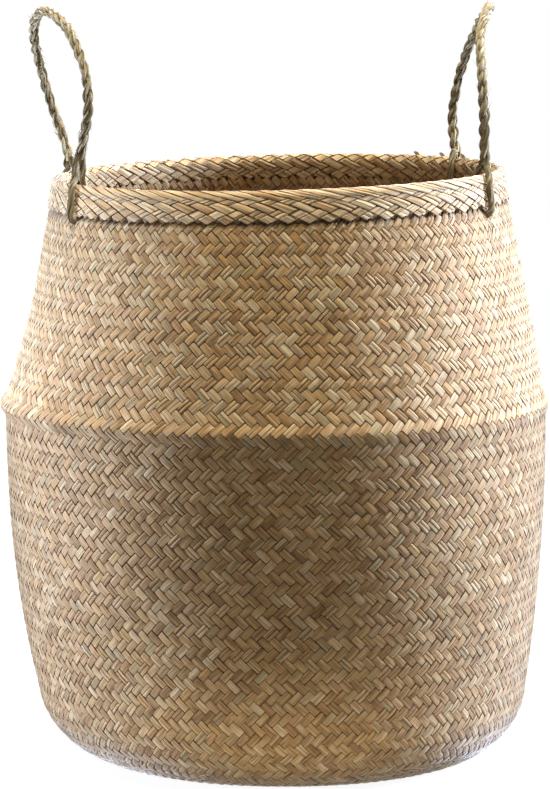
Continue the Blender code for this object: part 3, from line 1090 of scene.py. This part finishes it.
def straw_finish(name, colours, brightness=1.0):
    """Dry seagrass strip: mottled along its length, finely ribbed, and duller and darker on its side walls
    by painted shade.
    """
    finish = Finish(name)
    place, _ = finish.attribute("strip_place")
    # edge is the share across the strip, squared; past 0.89 it paints shade on the strip's side walls
    _, (tone, tint, edge) = finish.attribute("strip_tone")
    patch = finish.noise(place, (30, 60, 3), 1)
    mottle = finish.noise(place, (105, 260, 11), 2)
    fibre = finish.noise(place, (45, 850, 5), 2, 0.6)
    rib = finish.noise(place, (22, 700, 7), 1)
    blush = finish.noise(place, (26, 40, 17), 1)
    level = (tone * 0.45 + patch * 0.7 + mottle * 0.95 + fibre * 1.2 - 1.09).kept()
    stops = ((0.0, colours.brown), (0.3, colours.tan), (0.58, colours.straw), (1.0, colours.pale))
    base = finish.node("ShaderNodeValToRGB", {"stops": stops}, {0: level}, out="Color")
    greenish = ((tint - 0.8) * 4 + (patch - 0.5) * 2.5).kept()
    golden = ((0.2 - tint) * 4 + (mottle - 0.5) * 2.5).kept()
    reddish = ((blush - 0.5) * 5).kept()
    base = finish.mix(greenish * 0.6, base, tuple(colours.green))
    base = finish.mix(golden * 0.6, base, tuple(colours.gold))
    base = finish.mix(reddish * 0.55, base, tuple(colours.red))
    # Dark brown rib lines of the strip's own, and painted shade on its side walls, where neighbouring strips
    # shade them
    grooves = (1.5 - rib * 2.6).kept() * 0.85 + ((edge - 0.89) * 9).kept() * 0.95
    base = finish.mix(grooves, base, tuple(0.55 * value for value in colours.brown))
    base = finish.mix(1.0, base, (brightness, brightness, brightness), "MULTIPLY")
    finish.set(Base_Color=base, Roughness=0.48 + fibre * 0.25)
    finish.set(Specular_IOR_Level=0.35, Specular_Tint=(1, 0.6, 0.28))
    finish.set(Sheen_Weight=0.9, Sheen_Roughness=0.4)
    finish.relief(rib * 0.6 + fibre * 0.4, 0.9, 0.0008)
    return finish.material


def rope_finish(name, colours):
    """Twisted seagrass: olive straws, pale along their crowns, darkened by painted shade towards the rope's
    middle.
    """
    finish = Finish(name)
    place, _ = finish.attribute("strip_place")
    _, (tone, tint, groove) = finish.attribute("strip_tone")
    mottle = finish.noise(place, (110, 300, 3), 2)
    fibre = finish.noise(place, (50, 1100, 5), 2, 0.6)
    level = (tone * 0.9 + mottle * 0.7 + fibre * 0.4 - 0.44).kept()
    dark = tuple(0.4 * value for value in colours.rope)
    stops = ((0.0, dark), (0.5, colours.rope), (1.0, colours.rope_pale))
    base = finish.node("ShaderNodeValToRGB", {"stops": stops}, {0: level}, out="Color")
    base = finish.mix(((tint - 0.7) * 3).kept() * 0.5, base, tuple(colours.tan))
    # Painted shade: the straws darken towards the rope's middle, where they meet.
    base = finish.mix((1 - groove).kept() * 0.78, base, tuple(colours.rope_groove))
    finish.set(Base_Color=base, Roughness=0.55 + fibre * 0.25, Specular_IOR_Level=0.3)
    finish.relief(fibre, 0.5, 0.0004)
    return finish.material


def dress(piece, body, slot, *nodes):
    """Rides a piece on a body in place of some solids."""
    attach(piece, body)
    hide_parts(*nodes)


class BASKET_OT_stage(bpy.types.Operator):
    """Set the camera, the lamps, the pale floor and the white background."""

    bl_idname = "basket.stage"
    bl_label = "Stage"

    def execute(self, context):
        sizes = context.scene.basket_stage
        data = bpy.data.cameras.new("camera")
        data.lens = sizes.lens
        data.sensor_width = 36
        data.clip_end = 50
        camera = bpy.data.objects.new("camera", data)
        context.scene.collection.objects.link(camera)
        camera.matrix_world = (
            Matrix.Translation((-sizes.aside, -sizes.distance, sizes.height))
            @ Matrix.Rotation(math.pi / 2 - sizes.pitch, 4, "X")
        )
        context.scene.camera = camera
        context.scene.view_settings.view_transform = "Standard"
        for lamp in LAMPS:
            self.lamp(context, *lamp)
        self.world(context)
        self.floor(context)
        return {"FINISHED"}

    def lamp(self, context, name, place, size, power, tint, aim):
        data = bpy.data.lights.new(name, "AREA")
        data.shape = "RECTANGLE"
        data.size, data.size_y = size
        data.energy = power
        data.color = tint
        lamp = bpy.data.objects.new(name, data)
        context.scene.collection.objects.link(lamp)
        lamp.location = place
        lamp.rotation_euler = (Vector(aim) - Vector(place)).to_track_quat("-Z", "Y").to_euler()
        lamp.visible_camera = False

    def world(self, context):
        """A background that is white to the camera and sheds only a little light."""
        light = 0.02
        world = bpy.data.worlds.new("studio")
        world.use_nodes = True
        context.scene.world = world
        shading = Shading(world.node_tree)
        background = world.node_tree.nodes["Background"]
        background.inputs["Color"].default_value = (1, 1, 1, 1)
        shading.feed(background.inputs["Strength"], shading.seen() * (1 - light) + light)

    def floor(self, context):
        """A wide pale disc that fades into the background."""
        sides, reach = 96, 1.9
        glow, ground = (0.93, 0.93, 0.93), (0.16, 0.16, 0.16)
        turns = [math.tau * i / sides for i in range(sides)]
        mesh = bpy.data.meshes.new("floor")
        ring = [(reach * math.cos(turn), reach * math.sin(turn), 0) for turn in turns]
        mesh.from_pydata(ring, [], [list(range(sides))])
        floor = bpy.data.objects.new("floor", mesh)
        context.scene.collection.objects.link(floor)
        finish = Finish("floor")
        finish.set(Base_Color=ground, Roughness=0.9, Specular_IOR_Level=0)
        finish.set(Emission_Color=finish.mix(finish.seen(), (0, 0, 0), glow), Emission_Strength=1)
        mesh.materials.append(finish.material)


class BASKET_OT_plait(bpy.types.Operator):
    """Plait the base, the belly and the neck, and cut them at the places where they move differently."""

    bl_idname = "basket.plait"
    bl_label = "Plait"

    def execute(self, context):
        strips = Plait(context.scene.basket_plait).make()
        material = straw_finish("seagrass_strips", context.scene.basket_colours)
        middles = strips.middles()
        height = middles[:, 2]
        radius = np.hypot(middles[:, 0], middles[:, 1])
        base = (radius < BASE_HIGH.x) & (height < HEEL_HIGH.z / 4)
        heel = ~base & (height < HEEL_HIGH.z)
        dress(strips.piece("base_plait", material, base), "belly", "base_plait", "base_mat")
        dress(strips.piece("heel_plait", material, heel), "belly", "heel_plait", "heel_wall")
        step = (CREASE_LOW.z - HEEL_HIGH.z) / BELLY_PARTS
        for i in range(BELLY_PARTS):
            low = HEEL_HIGH.z + step * i
            part = (height >= low) & (height < low + step) & ~base
            piece = strips.piece(f"belly_plait_{i + 1}", material, part)
            dress(piece, "belly", "belly_plait", "belly_wall")
        crease = (height >= CREASE_LOW.z) & (height < CREASE_HIGH.z)
        dress(strips.piece("crease_plait", material, crease), "belly", "crease_plait", "waist_crease")
        foot = (height >= CREASE_HIGH.z) & (height < FOLD_LOW)
        dress(strips.piece("neck_plait_foot", material, foot), "belly", "neck_plait", "neck_wall")
        self.neck(strips, material, height)
        under = height >= FOLD_HIGH
        dress(strips.piece("neck_plait_top", material, under), "rim", "neck_plait", "neck_wall")
        return {"FINISHED"}

    def neck(self, strips, material, height):
        """Cuts the neck between FOLD_LOW and FOLD_HIGH into bands, each a piece of its own."""
        span = FOLD_HIGH - FOLD_LOW
        for i, (first, last) in enumerate(zip(FOLD_SHARES, FOLD_SHARES[1:])):
            low, high = FOLD_LOW + span * first, FOLD_LOW + span * last
            band = (height >= low) & (height < high)
            piece = strips.piece(f"neck_plait_{i + 1}", material, band)
            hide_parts("neck_wall")
            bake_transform(piece)


class BASKET_OT_border(bpy.types.Operator):
    """Fold the border over the rim."""

    bl_idname = "basket.border"
    bl_label = "Border"

    def execute(self, context):
        sizes = context.scene.basket_border
        material = straw_finish("border_strips", context.scene.basket_colours, sizes.bleach)
        strips = Border(sizes, context.scene.basket_plait).make()
        dress(strips.piece("border_plait", material), "rim", "border_plait", "rim_border")
        return {"FINISHED"}


class BASKET_OT_handles(bpy.types.Operator):
    """Twist the two rope handles and the strands that hold them to the rim."""

    bl_idname = "basket.handles"
    bl_label = "Handles"

    def execute(self, context):
        sizes = context.scene.basket_rope
        plait_sizes = context.scene.basket_plait
        material = rope_finish("twisted_seagrass", context.scene.basket_colours)
        handles = (
            Handle(-1, LEFT_FEET, LEFT_CROTCHES, LEFT_LOOP_SHARES, sizes.slope),
            Handle(1, RIGHT_FEET, RIGHT_CROTCHES, RIGHT_LOOP_SHARES, sizes.slope),
        )
        for handle in handles:
            ropes = Ropes(sizes, plait_sizes.seed + ROPE_SEED + handle.side)
            line = ropes.rope(handle.route)
            ropes.hairs(line, sizes.hairs)
            piece = ropes.strips.join().piece(f"{handle.name}_rope", material)
            dress(piece, f"{handle.name}_handle", "rope", f"{handle.name}_handle_rope")
            for end, crotch in (("front", line[0]), ("back", line[-1])):
                self.foot(handle, end, crotch, sizes, plait_sizes, material)
        return {"FINISHED"}

    def foot(self, handle, end, crotch, sizes, plait_sizes, material):
        """One ply that leaves the rope's end, goes down outside, through the wall and up inside."""
        ropes = Ropes(sizes, plait_sizes.seed + PLY_SEEDS[end] + handle.side)
        points = [
            handle.on_rim(handle.angles[end] + PLY_SLANTS[end] * turn, neck_face(face) + out, height)
            for face, out, height, turn in PLY_PATH
        ]
        points = list(settle(np.array(points), plait_sizes))
        away = np.array([points[0][0], points[0][1], 0])
        away /= np.linalg.norm(away)
        up = np.array([0, 0, JOINT_RISE])
        near, far = (away * out for out in JOINT_OUT)
        points = [crotch + near + up, crotch + far - up, *points, crotch - far - up, crotch - near + up]
        line, places = evenly(smooth_line(points, PLY_STEPS), ropes.spacing)
        toward, _ = frames_along(line, (1, 0.2, 0))
        # The core, beside the ply's middle, towards which its straws get painted shade
        core = line - toward * ropes.foot_groove
        ropes.ply(line, places, core, toward, ropes.foot_tone, ropes.foot_twist)
        piece = ropes.strips.join().piece(f"{handle.name}_{end}_ply", material)
        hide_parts(f"{handle.name}_{end}_strand")
        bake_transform(piece)


class BASKET_PT_panel(bpy.types.Panel):
    """Has a button for the stage and for each part of the basket."""

    bl_label = "Basket"
    bl_idname = "BASKET_PT_panel"
    bl_space_type = "VIEW_3D"
    bl_region_type = "UI"
    bl_category = "Basket"

    def draw(self, context):
        for operator in OPERATORS:
            self.layout.operator(operator.bl_idname)


OPERATORS = (BASKET_OT_stage, BASKET_OT_plait, BASKET_OT_border, BASKET_OT_handles)
SETTINGS = {
    "basket_plait": PlaitSizes,
    "basket_border": BorderSizes,
    "basket_rope": RopeSizes,
    "basket_colours": BasketColours,
    "basket_stage": StageSizes,
}


def register():
    for settings in SETTINGS.values():
        bpy.utils.register_class(settings)
    for name, settings in SETTINGS.items():
        setattr(bpy.types.Scene, name, PointerProperty(type=settings))
    for made in (*OPERATORS, BASKET_PT_panel):
        bpy.utils.register_class(made)


def unregister():
    for made in (BASKET_PT_panel, *reversed(OPERATORS)):
        bpy.utils.unregister_class(made)
    for name, settings in SETTINGS.items():
        delattr(bpy.types.Scene, name)
        bpy.utils.unregister_class(settings)


def main():
    register()
    bpy.ops.basket.stage()
    bpy.ops.basket.plait()
    bpy.ops.basket.border()
    bpy.ops.basket.handles()


if __name__ == "__main__":
    main()
